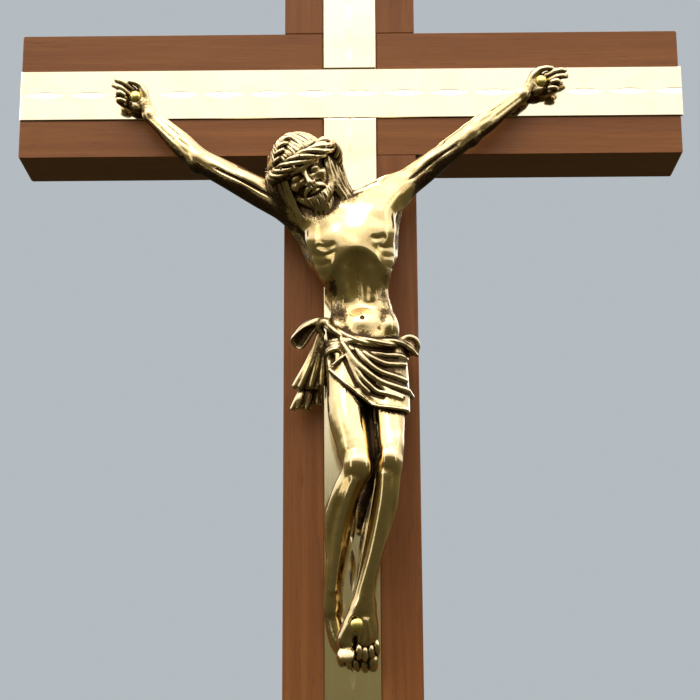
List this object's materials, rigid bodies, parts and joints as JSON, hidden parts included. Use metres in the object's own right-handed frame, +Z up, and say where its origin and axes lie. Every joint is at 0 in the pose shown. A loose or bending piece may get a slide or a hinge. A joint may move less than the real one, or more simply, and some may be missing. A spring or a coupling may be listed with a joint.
{
  "type": "crucifix",
  "caption": "Half-lapped wooden wall cross with inlaid brass strips, a nailed brass figure, a blank nameplate and a swinging hanging ring let into the back.",
  "frame": {"origin": "on the flat back of the cross, at the centre of the crossing", "axes": "+X to the viewer's right, +Y into the wall so that the front faces -Y, +Z up along the post"},
  "size_m": [0.1524, 0.0375, 0.254],
  "materials": {
    "walnut": "satin oiled reddish walnut with fine straight grain",
    "inlay_brass": "pale polished brass sheet, diamond cut along its middle",
    "aged_brass": "antique cast brass, bright on the heights and near black in the hollows",
    "nail_brass": "polished yellow brass",
    "hanger_steel": "dull zinc plate"
  },
  "bodies": {
    "cross": {"post": "walnut", "crossbeam": "walnut", "strip_horizontal": "inlay_brass", "strip_upper": "inlay_brass", "strip_lower": "inlay_brass", "corpus": "aged_brass", "hand_nail_right": "nail_brass", "hand_nail_left": "nail_brass", "feet_nail": "nail_brass", "titulus_plate": "aged_brass", "titulus_pin_right": "nail_brass", "titulus_pin_left": "nail_brass", "hanger_plate": "hanger_steel", "hanger_brad_lower": "hanger_steel", "hanger_brad_upper": "hanger_steel"},
    "ring": {"hanger_ring": "hanger_steel"}
  },
  "joints": [
    {"name": "ring_swing", "type": "hinge", "parent": "cross", "child": "ring", "pos_m": [0, -0.00365, 0.039], "axis": [1, 0, 0], "range_deg": [-5, 180]}
  ]
}
